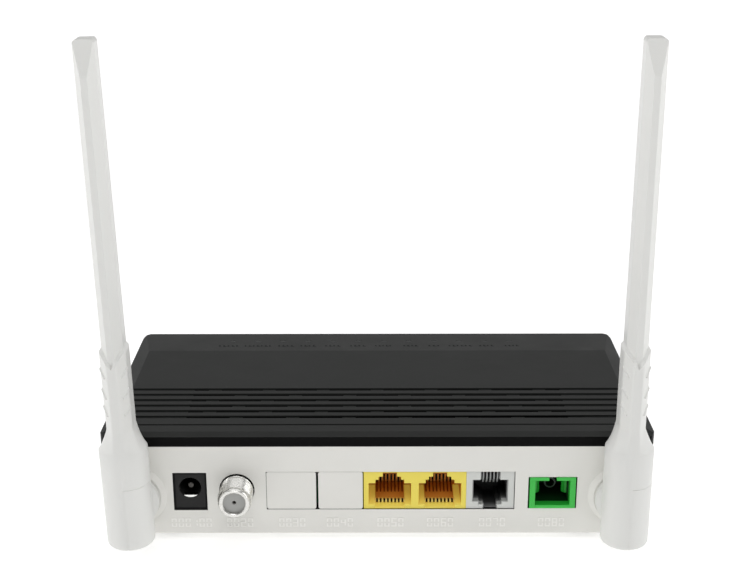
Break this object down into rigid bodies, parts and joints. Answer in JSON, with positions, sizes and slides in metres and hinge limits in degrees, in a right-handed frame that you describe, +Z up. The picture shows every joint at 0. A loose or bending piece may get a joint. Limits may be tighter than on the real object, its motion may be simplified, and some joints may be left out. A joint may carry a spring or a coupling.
{
  "type": "optical network terminal",
  "caption": "Low two-part case with vents on top, a row of network, phone, coax and optical sockets at the rear, and swivelling upright antennas.",
  "frame": {"origin": "centre of the bounding box's footprint, on the table under the feet", "axes": "+X along the row of sockets (to the right when facing them), +Y from the sockets towards the indicator side, +Z up"},
  "size_m": [0.1524, 0.0932, 0.142],
  "materials": {
    "white_shell": "fine satin moulded ABS, warm white",
    "black_cover": "fine satin moulded ABS, charcoal",
    "antenna_white": "smooth satin moulded ABS, white",
    "foot_rubber": "matt",
    "label_film": "blank polyester film",
    "screw_steel": "zinc plated",
    "board_laminate": "green solder mask",
    "dark_plastic": "black moulded nylon",
    "plated_contact": "nickel plated pin",
    "nickel": "bright nickel plate",
    "pale_insulator": "grey moulded insulator",
    "gold_contact": "gold flash on bronze",
    "yellow_plastic": "yellow moulded PBT",
    "grey_plastic": "light grey moulded PBT",
    "green_plastic": "bright green moulded PBT",
    "ceramic": "zirconia split sleeve",
    "tinned_can": "tin plated steel",
    "chip_epoxy": "moulded epoxy",
    "anodised_sink": "black anodised",
    "capacitor_sleeve": "shrink sleeve",
    "ferrite": "moulded ferrite",
    "led_lens": "clear lens",
    "clear_guide": "clear moulded acrylic",
    "button_white": "satin moulded ABS",
    "cable_jacket": "thin fluoropolymer jacket"
  },
  "bodies": {
    "root": {"aerial_plugs": "nickel", "board_screws": "screw_steel", "bottom_shell": "white_shell", "capacitors": "capacitor_sleeve", "case_screws": "screw_steel", "coax_connector": "nickel", "coax_contact": "gold_contact", "coax_insulator": "pale_insulator", "heatsink": "anodised_sink", "indicator_leds": "led_lens", "inductors": "ferrite", "lan_contacts": "gold_contact", "lan_jack": "yellow_plastic", "lan_transformers": "chip_epoxy", "left_aerial_cable": "cable_jacket", "light_guide": "clear_guide", "main_board": "board_laminate", "memory_chips": "chip_epoxy", "optical_adapter": "green_plastic", "optical_module": "nickel", "optical_sleeve": "ceramic", "phone_contacts": "gold_contact", "phone_jack": "grey_plastic", "port_blank_inner": "white_shell", "port_blank_outer": "white_shell", "power_jack": "dark_plastic", "power_jack_pin": "plated_contact", "processor": "chip_epoxy", "push_switches": "dark_plastic", "rating_label": "label_film", "right_aerial_cable": "cable_jacket", "rubber_feet": "foot_rubber", "socket_panel": "white_shell", "top_cover": "black_cover", "tuner_shield": "tinned_can", "wifi_shield": "tinned_can"},
    "left_antenna": {"left_antenna_base": "antenna_white", "left_antenna_cap": "antenna_white", "left_antenna_blade": "antenna_white", "left_antenna_core": "board_laminate", "left_antenna_feed": "cable_jacket", "left_antenna_clip": "screw_steel"},
    "right_antenna": {"right_antenna_base": "antenna_white", "right_antenna_cap": "antenna_white", "right_antenna_blade": "antenna_white", "right_antenna_core": "board_laminate", "right_antenna_feed": "cable_jacket", "right_antenna_clip": "screw_steel"},
    "wps_button": {"wps_button": "button_white"},
    "reset_button": {"reset_button": "button_white"}
  },
  "joints": [
    {"name": "left_antenna_swivel", "type": "hinge", "parent": "root", "child": "left_antenna", "pos_m": [-0.0676, -0.0399, 0.01425], "axis": [0, 1, 0], "range_deg": [-88.6, 29.4]},
    {"name": "right_antenna_swivel", "type": "hinge", "parent": "root", "child": "right_antenna", "pos_m": [0.0676, -0.0399, 0.01425], "axis": [0, 1, 0], "range_deg": [-28, 90]},
    {"name": "wps_button_push", "type": "slide", "parent": "root", "child": "wps_button", "axis": [-1, 0, 0], "range_m": [0, 0.0005], "stiffness_N_per_m": 800},
    {"name": "reset_button_push", "type": "slide", "parent": "root", "child": "reset_button", "axis": [-1, 0, 0], "range_m": [0, 0.0005], "stiffness_N_per_m": 800}
  ]
}
